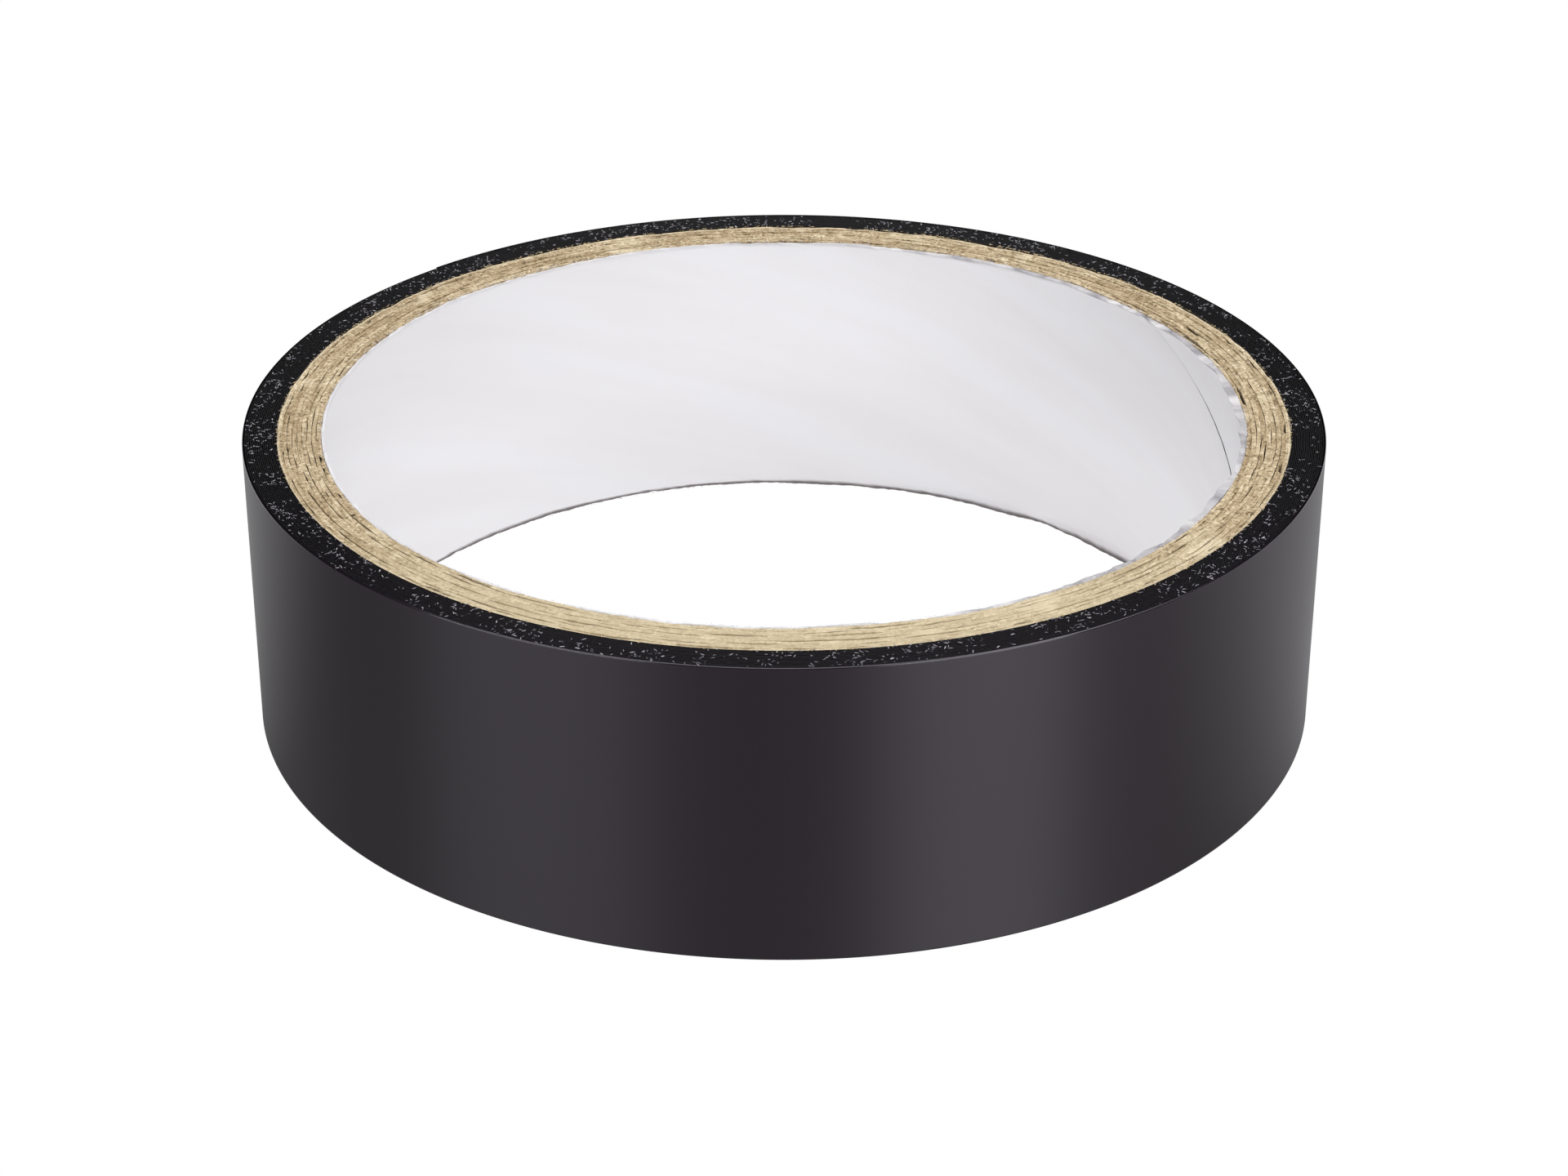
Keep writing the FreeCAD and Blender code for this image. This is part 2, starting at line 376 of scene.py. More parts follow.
# the cut edge is greyed in spots 2 mm across, over the top 0.4 mm, and less on one side
edge_noise = add(tree, "ShaderNodeTexNoise", named={"Vector": wrap_place, "Scale": EDGE_SPOTS_PER_MM,
                                                    "Detail": 5.0})
cut_edge = add(tree, MAP_RANGE, height_share, 0.985, 0.998, 0.0, 1.0)
cut_grey = add(tree, RAMP, edge_noise, stops=((0.35, "#a3a1a5"), (0.5, "#c9c7c9"), (0.68, "#f4f3f2")))
sideways = add(tree, "ShaderNodeSeparateXYZ", add(tree, "ShaderNodeTexCoord").outputs["Object"])
greyer_towards_right = add(tree, MAP_RANGE, sideways.outputs["X"], -10 * MM, 25 * MM, 0.3, 1.0)
greyed = add(tree, MATH, cut_edge, greyer_towards_right, operation="MULTIPLY")
edged = add(tree, MIX_COLOURS, named={"Factor": greyed, UNDER: white, OVER: cut_grey},
            **TINT).outputs[MIXED]
# painted shadow: the lowest 0.4 mm is darkened where the liner stands on the table
foot = add(tree, MAP_RANGE, height_share, 0.016, 0.006, 0.0, 1.0)
foot_shadowed = add(tree, MIX_COLOURS, named={"Factor": foot, UNDER: edged, OVER: linear("#77706f")},
             **TINT).outputs[MIXED]
# painted shadow darkens the first 0.2 mm of the strip, beside its seam
seam_shows = add(tree, MAP_RANGE, height_share, SEAM_FADES_FROM, SEAM_SHUTS_AT, 1.0, 0.0)
along_share = add(tree, "ShaderNodeSeparateXYZ", share_place).outputs["X"]
painted_seam_shadow = add(tree, MAP_RANGE, along_share, 0.0005, 0.0010, seam_shows, 0.0)
seam_shadowed = add(tree, MIX_COLOURS, named={"Factor": painted_seam_shadow, UNDER: foot_shadowed, OVER: linear("#6f6c70")},
             **TINT).outputs[MIXED]
tree.links.new(seam_shadowed, surface.inputs["Base Color"])
grain = add(tree, "ShaderNodeTexNoise", named={"Vector": wrap_place, "Scale": FELT_MARKS_PER_MM,
                                               "Detail": 4.0})
felt = add(tree, "ShaderNodeBump", named={"Strength": 0.2, "Distance": 0.02 * MM, "Height": grain})
tree.links.new(felt.outputs[0], surface.inputs["Normal"])

liner = grown("liner", paper, {
    **paper_sizes(BORE_RADIUS, LINER_THICKNESS, LINER_SEAM_AT, 0.2 * MM, liner_white),
    "Seam opens at": SEAM_OPENS_AT, "Seam shuts at": SEAM_SHUTS_AT, "Crowding": 1.0,
    "Tuft": 0.25 * MM, "Step": 0.1 * MM,
    "Wander": 0.03 * MM, "Slit": 0.0, "Lip": 0.65 * MM, "Seed": 3.0,
    "Columns": 1200, "Layers": 4, "Rows": 38,
})
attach(liner, "roll")
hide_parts("core_liner")


# Kraft plies: nine strips of brown core board, each glued over the last. The sliced end shows each one as
# a line of torn fibres, with dark slits where two have parted, and a seam as a short dark slot.
STREAK_SHARE = 0.28
# Kraft board: unbleached, fully dull, and rough where it is cut. Streaks of fibre 2 mm long and 0.15 mm
# thick run along each ply, stretches of 10 mm differ in tone, and glue shows in stretches of 5 mm.
STREAKS_PER_MM = (0.45, 7.0, 0.4)
CURLS_PER_MM = 1.7
TONES_PER_MM = (0.1, 0.3, 0.3)
GLUE_PER_MM = (0.22, 0.0, 0.6)
POLISH_PER_MM = 0.22
kraft, tree, surface = new_material("sliced_kraft_board", 0.85)
wrap_place = add(tree, "ShaderNodeAttribute", attribute_name="wrap").outputs["Vector"]
share_place = add(tree, "ShaderNodeAttribute", attribute_name="share").outputs["Vector"]
through = add(tree, "ShaderNodeSeparateXYZ", share_place).outputs["Y"]
streak_place = add(tree, "ShaderNodeVectorMath", wrap_place, STREAKS_PER_MM, operation="MULTIPLY")
streaks = add(tree, "ShaderNodeTexNoise", named={"Vector": streak_place, "Scale": 1.0, "Detail": 5.0})
# curled clumps of fibre 0.6 mm across, which the knife smeared from one ply over the next. The fibres in
# them are drawn coarser than the real ones, which are 0.03 mm wide and too fine to show
on_cut = add(tree, "ShaderNodeTexCoord").outputs["Object"]
curls = add(tree, "ShaderNodeTexNoise", named={"Vector": on_cut, "Scale": CURLS_PER_MM / MM, "Detail": 4.0,
                                               "Distortion": 2.0})
fibres = add(tree, MATH, streaks, STREAK_SHARE,
             add(tree, MATH, curls, 1 - STREAK_SHARE, operation="MULTIPLY"), operation="MULTIPLY_ADD")
torn = add(tree, RAMP, fibres, stops=((0.37, "#6a5940"), (0.43, "#9a896c"), (0.52, "#b3a285"),
                                      (0.64, "#d8cdb6")))
# a few plies are duller or paler than the rest along a stretch
ply_place = add(tree, "ShaderNodeVectorMath", wrap_place, TONES_PER_MM, operation="MULTIPLY")
ply_tone = add(tree, "ShaderNodeTexNoise", named={"Vector": ply_place, "Scale": 1.0, "Detail": 2.0})
ply_shade = add(tree, RAMP, ply_tone, stops=((0.35, "#ddd4c5"), (0.6, "#fffdf8")))
toned = add(tree, MIX_COLOURS, named={"Factor": 1.0, UNDER: torn, OVER: ply_shade}, **TINT).outputs[MIXED]
# dried glue makes a dark line where two plies meet, on and off
glue_place = add(tree, "ShaderNodeVectorMath", wrap_place, GLUE_PER_MM, operation="MULTIPLY")
glue = add(tree, "ShaderNodeTexNoise", named={"Vector": glue_place, "Scale": 1.0, "Detail": 3.0})
glue_there = add(tree, MAP_RANGE, glue, 0.52, 0.66, 0.0, 0.5)
at_face = add(tree, MAP_RANGE, through, 0.75, 1.0, 0.0, glue_there)
glued = add(tree, MIX_COLOURS, named={"Factor": at_face, UNDER: toned, OVER: linear("#86735a")},
            **TINT).outputs[MIXED]
# here and there the knife polished a pale patch, and a painted highlight makes the rim of the outermost ply paler,
# where its edge catches the light
patches = add(tree, "ShaderNodeTexNoise", named={"Vector": on_cut, "Scale": POLISH_PER_MM / MM,
                                                 "Detail": 2.0})
polished = add(tree, MAP_RANGE, patches, 0.6, 0.68, 0.0, 0.45)
level = add(tree, "ShaderNodeVectorMath", on_cut, (1.0, 1.0, 0.0), operation="MULTIPLY")
from_axis = add(tree, "ShaderNodeVectorMath", level, operation="LENGTH").outputs["Value"]
painted_rim_highlight = add(tree, MAP_RANGE, from_axis, CORE_RADIUS - 0.22 * MM, CORE_RADIUS - 0.12 * MM, 0.0, 0.55)
pale = add(tree, MATH, polished, painted_rim_highlight, operation="MAXIMUM")
paled = add(tree, MIX_COLOURS, named={"Factor": pale, UNDER: glued, OVER: linear("#dccfb3")},
            **BLEND).outputs[MIXED]
# painted sheen: on one side of the roll, the front, past 20 mm from the axis, the board is painted paler, where
# the light falls brighter on its fibres
side_place = add(tree, "ShaderNodeSeparateXYZ", on_cut)
painted_front_sheen = add(tree, MAP_RANGE, side_place.outputs["Y"], -20 * MM, -36 * MM, 0.0, 0.55,
            interpolation_type="SMOOTHSTEP")
front_sheened = add(tree, MIX_COLOURS, named={"Factor": painted_front_sheen, UNDER: paled, OVER: linear("#c1b496")},
              **BLEND).outputs[MIXED]
# painted shade darkens the walls of the slits and seams, from 0.03 to 0.4 mm below the cut, where little light
# reaches
height_share = add(tree, "ShaderNodeSeparateXYZ", share_place).outputs["Z"]
from_middle = add(tree, MATH, add(tree, MATH, height_share, -0.5, operation="ADD"), operation="ABSOLUTE")
painted_gap_shade = add(tree, MAP_RANGE, from_middle, 0.499, 0.485, 0.0, 0.9)
gap_shaded = add(tree, MIX_COLOURS, named={"Factor": painted_gap_shade, UNDER: front_sheened, OVER: linear("#3f3324")},
            **TINT).outputs[MIXED]
tree.links.new(gap_shaded, surface.inputs["Base Color"])
fuzz = add(tree, "ShaderNodeBump", named={"Strength": 0.8, "Distance": 0.06 * MM, "Height": fibres})
tree.links.new(fuzz.outputs[0], surface.inputs["Normal"])

OPEN_SEAM = 4
OPEN_SEAM_GAP = 0.9 * MM
SEAM_GAP = 0.08 * MM
PARTED_PLIES = (1, PLY_COUNT - 1)
WIDE_SLIT = 0.22 * MM
FINE_SLIT = 0.08 * MM
# a share of the height past the top: a ply's seam is open all the way up
PAST_TOP = 2.0
for number in range(1, PLY_COUNT + 1):
    inner = BORE_RADIUS + LINER_THICKNESS + GLUE_LINE + (number - 1) * (PLY_THICKNESS + GLUE_LINE)
    gap = OPEN_SEAM_GAP if number == OPEN_SEAM else SEAM_GAP
    slit = WIDE_SLIT if number in PARTED_PLIES else FINE_SLIT
    ply = grown(f"kraft_ply_{number:02d}", paper, {
        **paper_sizes(inner, PLY_THICKNESS, LINER_SEAM_AT + number * SEAM_STEP, gap, kraft),
        "Seam opens at": PAST_TOP, "Seam shuts at": PAST_TOP + 1, "Crowding": 0.0, "Tuft": 0.16 * MM,
        "Step": 0.1 * MM,
        "Wander": 0.05 * MM, "Slit": slit, "Lip": 0.0, "Seed": 11.3 * number,
        "Columns": 1200, "Layers": 6, "Rows": 18,
    })
    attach(ply, "roll")
    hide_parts(f"core_ply_{number:02d}")


# Film: one long strip of black film, wound on the core with its sticky side inwards. Each turn lies a
# hair higher or lower than the next in the sliced end, which shows them as fine rings.

# a share of the width, and degrees of winding over which a turn's edge rises or falls
END_ZONE = 0.03
STAGGER_EVERY = 25.0
wound_film, given, result = new_tree(
    "wound_film",
    floats=("First radius", "Pitch", "Thickness", "From", "To", "Start angle", "Centre angle", "Width",
            "Stagger", "Dome", "Rounding", "Lift", "Lift from", "Lift to"),
    whole=("Columns", "Layers", "Rows"),
    materials=("Film", "Cut edge", "Adhesive"),
)
block = add(wound_film, "GeometryNodeMeshCube", (1, 1, 1), given["Columns"], given["Layers"],
            given["Rows"])
facing = add(wound_film, "ShaderNodeSeparateXYZ", add(wound_film, "GeometryNodeInputNormal"))
is_cut = add(wound_film, MATH, add(wound_film, MATH, facing.outputs["Z"], operation="ABSOLUTE"), 0.5,
             operation="GREATER_THAN")
is_sticky = add(wound_film, MATH, facing.outputs["Y"], -0.5, operation="LESS_THAN")
side = add(wound_film, MATH, is_sticky, 2.0, is_cut, operation="MULTIPLY_ADD")
sided = add(wound_film, "GeometryNodeStoreNamedAttribute", block,
            named={"Name": "side", "Value": side}, data_type="FLOAT", domain="FACE")
place = add(wound_film, "ShaderNodeSeparateXYZ", add(wound_film, "GeometryNodeInputPosition"))
around = add(wound_film, MATH, 0.5, place.outputs["X"], operation="SUBTRACT")
across = add(wound_film, MATH, place.outputs["Y"], 0.5, operation="ADD")
up = add(wound_film, MATH, place.outputs["Z"], 0.5, operation="ADD")
# rows crowd towards both edges of the strip, where the film is rounded
crowded = up
for _ in range(2):
    swing = add(wound_film, MATH, add(wound_film, MATH, crowded, math.pi, operation="MULTIPLY"),
                operation="COSINE")
    crowded = add(wound_film, MATH, swing, -0.5, 0.5, operation="MULTIPLY_ADD")
rise = add(wound_film, MATH, crowded, given["Width"], operation="MULTIPLY")
from_top = add(wound_film, MATH, given["Width"], rise, operation="SUBTRACT")
from_end = add(wound_film, MATH, from_top, rise, operation="MINIMUM")
# a spiral of half turns about two centres, half a pitch apart. A stretch of it can be lifted outwards
reach = add(wound_film, MATH, given["To"], given["From"], operation="SUBTRACT")
wound = add(wound_film, MATH, around, reach, given["From"], operation="MULTIPLY_ADD")
half_turns = add(wound_film, MATH, add(wound_film, MATH, wound, 180.0, operation="DIVIDE"),
                 operation="FLOOR")
half_pitch = add(wound_film, MATH, given["Pitch"], 0.5, operation="MULTIPLY")
odd = add(wound_film, MATH, half_turns, 2.0, operation="FLOORED_MODULO")
offset = add(wound_film, MATH, odd, half_pitch, operation="MULTIPLY")
lifted = add(wound_film, MAP_RANGE, wound, given["Lift from"], given["Lift to"], 0.0, given["Lift"],
             interpolation_type="SMOOTHSTEP")
within = add(wound_film, MATH, across, given["Thickness"], lifted, operation="MULTIPLY_ADD")
depth = add(wound_film, MATH, within, given["First radius"], operation="ADD")
turn_radius = add(wound_film, MATH, half_turns, half_pitch, depth, operation="MULTIPLY_ADD")
degrees = add(wound_film, MATH, wound, given["Start angle"], operation="ADD")
angle = add(wound_film, MATH, degrees, operation="RADIANS")
centre_angle = add(wound_film, MATH, given["Centre angle"], operation="RADIANS")
# the sliced ends: each stretch of film stands a little lower or higher, and is domed and rounded. The
# height in the noise only tells the top from the foot
at_top = add(wound_film, MAP_RANGE, up, 1 - END_ZONE, 1.0, 0.0, 1.0)
at_foot = add(wound_film, MAP_RANGE, up, END_ZONE, 0.0, 0.0, 1.0)
stagger_spot = add(wound_film, "ShaderNodeCombineXYZ",
                   add(wound_film, MATH, wound, STAGGER_EVERY, operation="DIVIDE"),
                   add(wound_film, MATH, place.outputs["Z"], 7.0, operation="MULTIPLY"))
staggers = add(wound_film, "ShaderNodeTexNoise", named={"Vector": stagger_spot, "Scale": 1.0,
                                                        "Detail": 3.0})
lean = add(wound_film, MATH, add(wound_film, MATH, across, 2.0, -1.0, operation="MULTIPLY_ADD"), 2.0,
           operation="POWER")
slump = add(wound_film, MATH, lean, given["Dome"],
            add(wound_film, MATH, staggers, given["Stagger"], operation="MULTIPLY"),
            operation="MULTIPLY_ADD")
inward = add(wound_film, MATH, at_foot, at_top, operation="SUBTRACT")
lift = add(wound_film, MATH, slump, inward, rise, operation="MULTIPLY_ADD")
# the outer corner of the cut is a quarter circle
near_end = add(wound_film, MAP_RANGE, from_end, 0.0, given["Rounding"], 1.0, 0.0)
fallen = add(wound_film, MATH, near_end, near_end, operation="MULTIPLY")
left_over = add(wound_film, MATH, add(wound_film, MATH, 1.0, fallen, operation="SUBTRACT"),
                operation="SQRT")
corner = add(wound_film, MATH, add(wound_film, MATH, 1.0, left_over, operation="SUBTRACT"),
             given["Rounding"], operation="MULTIPLY")
worn = add(wound_film, MATH, corner, across, operation="MULTIPLY")
radius = add(wound_film, MATH, turn_radius, worn, operation="SUBTRACT")
there_x = add(wound_film, MATH, radius, add(wound_film, MATH, angle, operation="COSINE"),
              add(wound_film, MATH, offset, add(wound_film, MATH, centre_angle, operation="COSINE"),
                  operation="MULTIPLY"), operation="MULTIPLY_ADD")
there_y = add(wound_film, MATH, radius, add(wound_film, MATH, angle, operation="SINE"),
              add(wound_film, MATH, offset, add(wound_film, MATH, centre_angle, operation="SINE"),
                  operation="MULTIPLY"), operation="MULTIPLY_ADD")
there = add(wound_film, "ShaderNodeCombineXYZ", there_x, there_y, lift)
# a place on the film, in millimetres: along it, through it and up it
arc = add(wound_film, MATH, angle, turn_radius, operation="MULTIPLY")
wrap = add(wound_film, "ShaderNodeVectorMath", add(wound_film, "ShaderNodeCombineXYZ", arc, depth, rise),
           (1 / MM,) * 3, operation="MULTIPLY")
marked = add(wound_film, "GeometryNodeStoreNamedAttribute", sided,
             named={"Name": "wrap", "Value": wrap}, data_type="FLOAT_VECTOR", domain="POINT")
# the map's first axis runs up the film and its second along it, so that the sheen is drawn out upwards
climb = add(wound_film, MATH, depth, rise, operation="ADD")
grid = add(wound_film, "ShaderNodeCombineXYZ", climb, arc)
mapped = add(wound_film, "GeometryNodeStoreNamedAttribute", marked,
             named={"Name": "UVMap", "Value": grid}, data_type="FLOAT2", domain="CORNER")
rolled = add(wound_film, "GeometryNodeSetPosition", mapped, named={"Position": there})
whole = add(wound_film, "GeometryNodeRealizeInstances", rolled)
side_there = add(wound_film, "GeometryNodeInputNamedAttribute", "side", data_type="FLOAT")
dressed = add(wound_film, "GeometryNodeSetMaterial", whole, named={"Material": given["Film"]})
for number, surface_name in ((1.0, "Cut edge"), (2.0, "Adhesive")):
    chosen = add(wound_film, "FunctionNodeCompare", named={0: side_there, 1: number}, data_type="FLOAT",
                 operation="EQUAL")
    dressed = add(wound_film, "GeometryNodeSetMaterial", dressed,
                  named={"Selection": chosen, "Material": given[surface_name]})
wound_film.links.new(dressed.outputs[0], result.inputs[0])

# Calendered vinyl: black film rolled out between polished drums. Its gloss is satin and drawn out over the
# height of the roll, and it has a faint grain 0.17 mm across, coarser than the real one so that it shows.
FILM_BLACK = "#171017"
FILM_IOR = 1.59
GRAIN_PER_MM = 6.0
SATIN = 0.5
BURNISHED = 0.2
BURNISH_FROM_EDGE = 0.14
BURNISH_TO_EDGE = 0.09
HALF_HEIGHT = ROLL_WIDTH / MM / 2
film_face, tree, surface = new_material("calendered_vinyl_film", SATIN, FILM_IOR)
surface.inputs["Base Color"].default_value = linear(FILM_BLACK)
surface.inputs["Specular Tint"].default_value = linear("#f9f4ff")
surface.inputs["Anisotropic"].default_value = 0.9
upwards = add(tree, "ShaderNodeTangent", direction_type="UV_MAP", uv_map="UVMap")
tree.links.new(upwards.outputs[0], surface.inputs["Tangent"])
wrap_place = add(tree, "ShaderNodeAttribute", attribute_name="wrap").outputs["Vector"]
matt = add(tree, "ShaderNodeTexNoise", named={"Vector": wrap_place, "Scale": GRAIN_PER_MM, "Detail": 3.0})
# the knife burnished the last tenth of a millimetre at both edges. Heights here are in millimetres
film_height = add(tree, "ShaderNodeSeparateXYZ", wrap_place).outputs["Z"]
from_middle = add(tree, MATH, add(tree, MATH, film_height, -HALF_HEIGHT, operation="ADD"),
                  operation="ABSOLUTE")
burnished = add(tree, MAP_RANGE, from_middle, HALF_HEIGHT - BURNISH_FROM_EDGE,
                HALF_HEIGHT - BURNISH_TO_EDGE, SATIN, BURNISHED)
tree.links.new(burnished.outputs[0], surface.inputs["Roughness"])
skin = add(tree, "ShaderNodeBump", named={"Strength": 0.05, "Distance": 0.01 * MM, "Height": matt})
tree.links.new(skin.outputs[0], surface.inputs["Normal"])

# Sliced vinyl: the cut end of all the turns together. The knife leaves it darker than the face and less
# shiny, with grit a quarter of a millimetre across, and its gloss is drawn out from turn to turn. Its low
# IOR stands for the light that is lost between the turns.
EDGE_BLACK = "#070509"
EDGE_IOR = 1.27
GRIT_PER_MM = 4.0
film_cut, tree, surface = new_material("sliced_vinyl_edge", SATIN, EDGE_IOR)
surface.inputs["Base Color"].default_value = linear(EDGE_BLACK)
surface.inputs["Anisotropic"].default_value = 0.9
outwards = add(tree, "ShaderNodeTangent", direction_type="UV_MAP", uv_map="UVMap")
tree.links.new(outwards.outputs[0], surface.inputs["Tangent"])
wrap_place = add(tree, "ShaderNodeAttribute", attribute_name="wrap").outputs["Vector"]
grit = add(tree, "ShaderNodeTexNoise", named={"Vector": wrap_place, "Scale": GRIT_PER_MM, "Detail": 4.0})
torn = add(tree, "ShaderNodeBump", named={"Strength": 0.5, "Distance": 0.03 * MM, "Height": grit})
tree.links.new(torn.outputs[0], surface.inputs["Normal"])

# Rubber adhesive: coated wet on the film's inner side, so it is glossy and dark, with ripples about a
# millimetre across.
RIPPLES_PER_MM = 0.8
adhesive, tree, surface = new_material("rubber_adhesive", 0.22)
surface.inputs["Base Color"].default_value = linear("#0b0a0b")
wrap_place = add(tree, "ShaderNodeAttribute", attribute_name="wrap").outputs["Vector"]
ripple = add(tree, "ShaderNodeTexNoise", named={"Vector": wrap_place, "Scale": RIPPLES_PER_MM, "Detail": 2.0})
coat = add(tree, "ShaderNodeBump", named={"Strength": 0.3, "Distance": 0.05 * MM, "Height": ripple})
tree.links.new(coat.outputs[0], surface.inputs["Normal"])

# the film is drawn thinner than it is, and the roll's outer face stays in place
FILM_THICKNESS = 0.095 * MM
CAD_FILM = 0.13 * MM
TURN_PITCH = 0.15 * MM
ADHESIVE_COAT = 0.02 * MM
TAPE_END_AT = 135.0
TURN_COUNT = 19
joints = frame["joints"]
LINK_ANGLE = 9.0
WOUND = 360.0 * TURN_COUNT
LEAD_FROM = WOUND - LINK_ANGLE * len(joints)
HALF_LINK = LINK_ANGLE / 2
INNER_CORNER = 0.01 * MM
OUTER_CORNER = 0.1 * MM
OUTER_ROWS = 33


def film_sizes(start, end, columns, rows, **others):
    """The inputs that every stretch of film has, from one winding angle to another, in degrees."""
    return {
        "First radius": CORE_RADIUS + ADHESIVE_COAT, "Pitch": TURN_PITCH,
        "Thickness": FILM_THICKNESS, "From": start, "To": end, "Start angle": TAPE_END_AT - WOUND,
        "Centre angle": TAPE_END_AT, "Width": ROLL_WIDTH, "Stagger": 0.06 * MM, "Dome": 0.02 * MM,
        "Rounding": INNER_CORNER, "Lift": 0.0, "Lift from": 0.0, "Lift to": 1.0,
        "Columns": columns, "Layers": 3, "Rows": rows,
        "Film": film_face, "Cut edge": film_cut, "Adhesive": adhesive, **others,
    }


OUTER_FROM = LEAD_FROM - 360
winding = grown("film_winding", wound_film, film_sizes(0.0, OUTER_FROM, 4200, 4))
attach(winding, "roll")
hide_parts("tape_winding")

PROUD = CAD_FILM - FILM_THICKNESS
# under the lead the outer turn lies deeper, so that a link that bends over it stays clear. It comes up to
# its place over 20 degrees of winding
UNDER_LEAD = OUTER_FROM + LINK_ANGLE * len(joints) + 1
RISE_RUN = 20.0
outer_turn = grown("film_outer_turn", wound_film, film_sizes(
    OUTER_FROM, LEAD_FROM - HALF_LINK, 720, OUTER_ROWS, **{
        "Lift": PROUD, "Lift from": UNDER_LEAD, "Lift to": UNDER_LEAD + RISE_RUN,
        "Rounding": OUTER_CORNER}))
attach(outer_turn, "roll")
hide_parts("tape_outer_turn")


# Lead: the last quarter turn of the strip, which peels off. Each piece spans one hinge line, from the
# middle of one link to the middle of the next, so that the film runs over it in one smooth curve.
for number, joint in enumerate(joints, 1):
    hinge_at = LEAD_FROM + (number - 1) * LINK_ANGLE
    last = number == len(joints)
    end = WOUND if last else hinge_at + HALF_LINK
    stretch = grown(f"film_lead_{number:02d}", wound_film, film_sizes(
        hinge_at - HALF_LINK, end, 28 if last else 19, OUTER_ROWS, Lift=PROUD, Rounding=OUTER_CORNER))
    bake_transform(stretch)
    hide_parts(f"tape_lead_{number:02d}")


# Lint and fuzz: the sticky cut edge of the tape has caught lint, the knife has dragged brown fibres out of
# the board over the tape, and pale ones lie along the inner edge of the liner. Each is a small slim grain.
DRIFTS_PER_MM = 0.3
scattered, given, result = new_tree(
    "scattered_fibres",
    floats=("Inner radius", "Outer radius", "Height", "Shortest", "Longest", "Thinnest", "Thickest", "Tilt",
            "Bareness"),
    whole=("Count", "Seed"),
    materials=("Fibre",),
)
inner_square = add(scattered, MATH, given["Inner radius"], 2.0, operation="POWER")
outer_square = add(scattered, MATH, given["Outer radius"], 2.0, operation="POWER")
down = add(scattered, MATH, given["Tilt"], -1.0, operation="MULTIPLY")
drawn = {}
for number, (what, low, high) in enumerate((
    ("square", inner_square, outer_square), ("bearing", 0.0, math.tau),
    ("thickness", given["Thinnest"], given["Thickest"]), ("length", given["Shortest"], given["Longest"]),
    ("tilt", down, given["Tilt"]), ("heading", 0.0, math.tau), ("luck", 0.0, 0.2),
)):
    seed = add(scattered, MATH, given["Seed"], float(number), operation="ADD")
    drawn[what] = add(scattered, "FunctionNodeRandomValue", data_type="FLOAT",
                      named={2: low, 3: high, "Seed": seed}).outputs[1]
points = add(scattered, "GeometryNodePoints", given["Count"])
far = add(scattered, MATH, drawn["square"], operation="SQRT")
lying = add(scattered, "ShaderNodeCombineXYZ",
            add(scattered, MATH, far, add(scattered, MATH, drawn["bearing"], operation="COSINE"),
                operation="MULTIPLY"),
            add(scattered, MATH, far, add(scattered, MATH, drawn["bearing"], operation="SINE"),
                operation="MULTIPLY"),
            given["Height"])
strewn = add(scattered, "GeometryNodeSetPosition", points, named={"Position": lying})
# they gather in drifts about 3 mm across
drifts = add(scattered, "ShaderNodeTexNoise", named={"Vector": lying, "Scale": DRIFTS_PER_MM / MM,
                                                     "Detail": 2.0})
bare = add(scattered, MATH, add(scattered, MATH, drifts, drawn["luck"], operation="ADD"), given["Bareness"],
           operation="LESS_THAN")
gathered = add(scattered, "GeometryNodeDeleteGeometry", strewn, bare, domain="POINT")
slim = add(scattered, "ShaderNodeCombineXYZ", drawn["length"], drawn["thickness"], drawn["thickness"])
turned = add(scattered, "ShaderNodeCombineXYZ", 0.0, drawn["tilt"], drawn["heading"])
bit = add(scattered, "GeometryNodeMeshIcoSphere", 0.5, 1)
laid = add(scattered, "GeometryNodeInstanceOnPoints", gathered,
           named={"Instance": bit, "Rotation": turned, "Scale": slim})
whole = add(scattered, "GeometryNodeRealizeInstances", laid)
dressed = add(scattered, "GeometryNodeSetMaterial", whole, named={"Material": given["Fibre"]})
scattered.links.new(dressed.outputs[0], result.inputs[0])


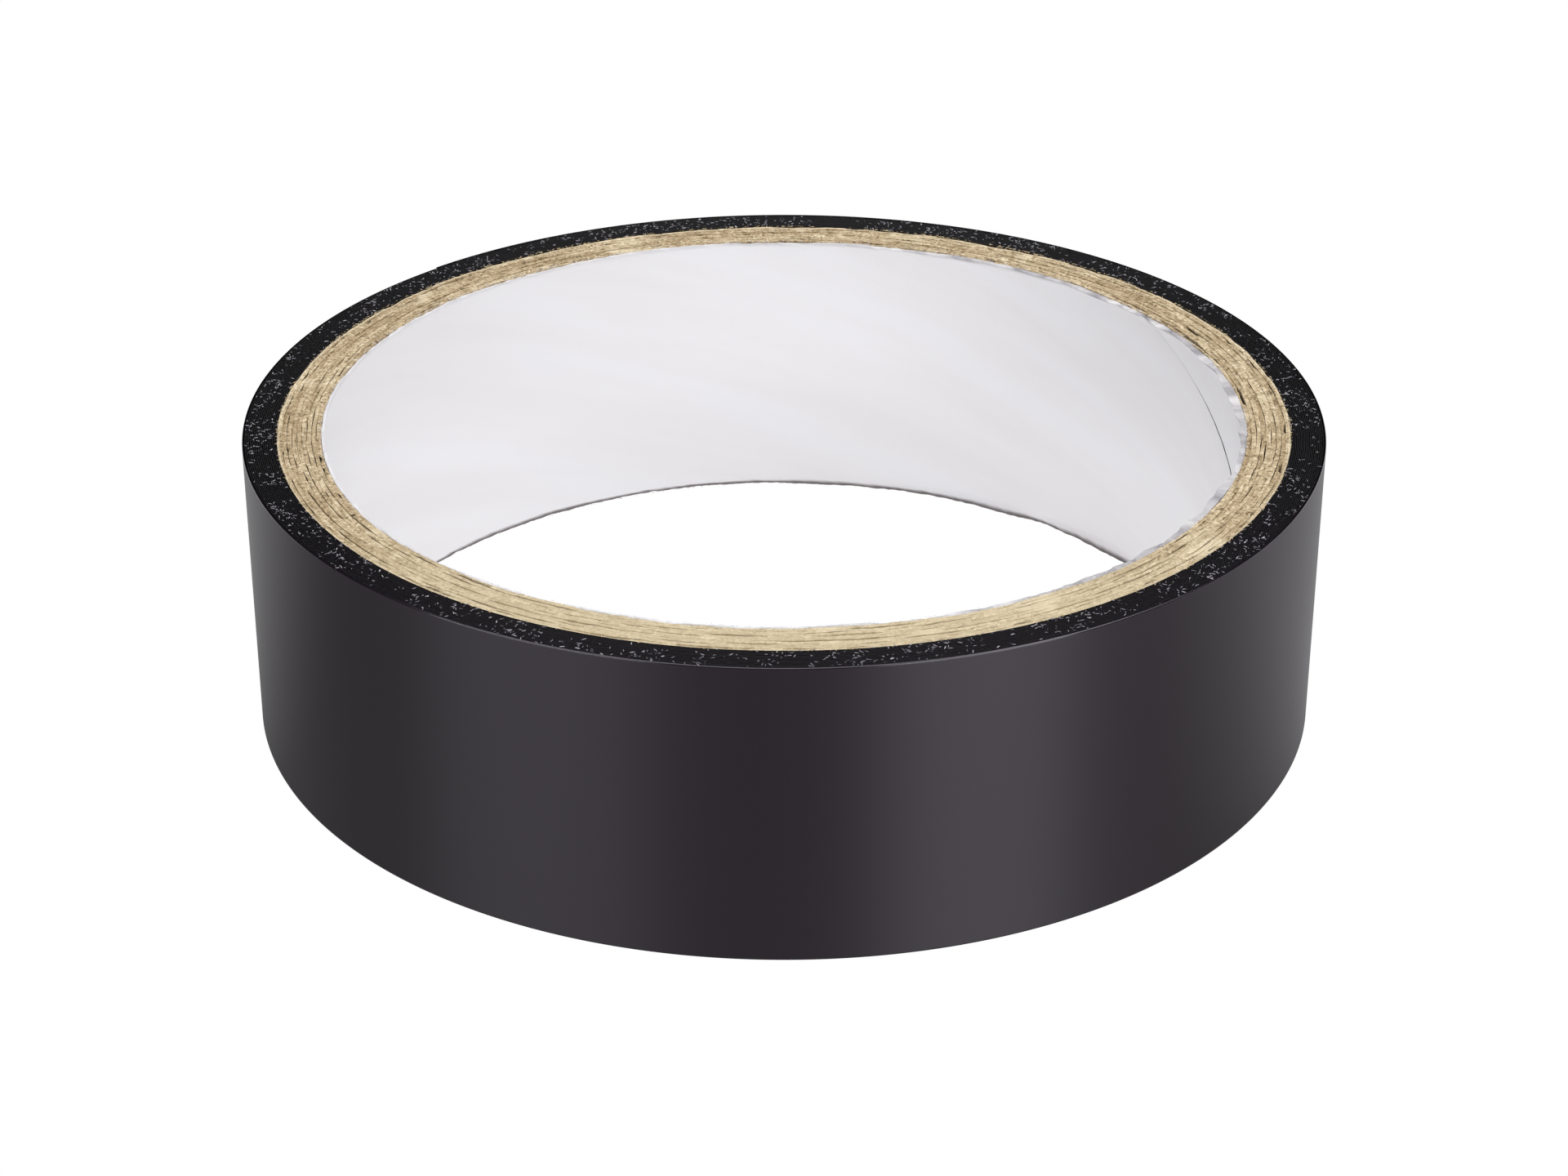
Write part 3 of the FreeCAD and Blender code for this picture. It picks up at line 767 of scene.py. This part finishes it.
def fibre(name, *stops):
    """Loose fibre: dull, with a colour that changes every millimetre, so from one fibre to the next."""
    material, tree, surface = new_material(name, 0.8)
    where = add(tree, "ShaderNodeTexCoord").outputs["Object"]
    patches = add(tree, "ShaderNodeTexNoise", named={"Vector": where, "Scale": 1 / MM, "Detail": 1.0})
    colours = add(tree, RAMP, patches, stops=stops)
    tree.links.new(colours.outputs[0], surface.inputs["Base Color"])
    return material


lint_grey = fibre("house_lint", (0.35, "#4e4b52"), (0.55, "#8b8890"), (0.7, "#b5b2b8"))
board_fuzz = fibre("torn_kraft_fibre", (0.3, "#8d7753"), (0.7, "#dccba6"))
paper_fuzz = fibre("torn_liner_fibre", (0.3, "#a9a5ab"), (0.7, "#e4e3e6"))
TAPE_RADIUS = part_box("tape_outer_turn")[1].x
JUST_OVER = 0.01 * MM
# each kind: from and to which radius it lies, how many bits, how long and thick in millimetres, how far
# they stand up in radians, and how much of the ground is bare
for name, inner, outer, count, longest, thickest, tilt, bareness, material, slot in (
    ("lint", CORE_RADIUS, TAPE_RADIUS - 0.25 * MM, 3000, 0.5, 0.1, 0.15, 0.55, lint_grey, "tape_film"),
    ("board_fuzz", CORE_RADIUS - 0.2 * MM, CORE_RADIUS + 0.1 * MM, 1500, 0.5, 0.06, 0.3, 0.5, board_fuzz,
     "kraft_board"),
    ("liner_fuzz", BORE_RADIUS + 0.05 * MM, BORE_RADIUS + 0.35 * MM, 700, 0.4, 0.06, 0.4, 0.5, paper_fuzz,
     "liner_paper"),
):
    for end, level, seed in (("top", ROLL_WIDTH - JUST_OVER, 5), ("foot", 3 * JUST_OVER, 6)):
        fuzz_piece = grown(f"{name}_{end}", scattered, {
            "Inner radius": inner, "Outer radius": outer, "Height": level, "Count": count, "Seed": seed,
            "Shortest": 0.06 * MM, "Longest": longest * MM, "Thinnest": 0.03 * MM,
            "Thickest": thickest * MM, "Tilt": tilt if end == "top" else 0.0, "Bareness": bareness,
            "Fibre": material,
        })
        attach(fuzz_piece, "roll")
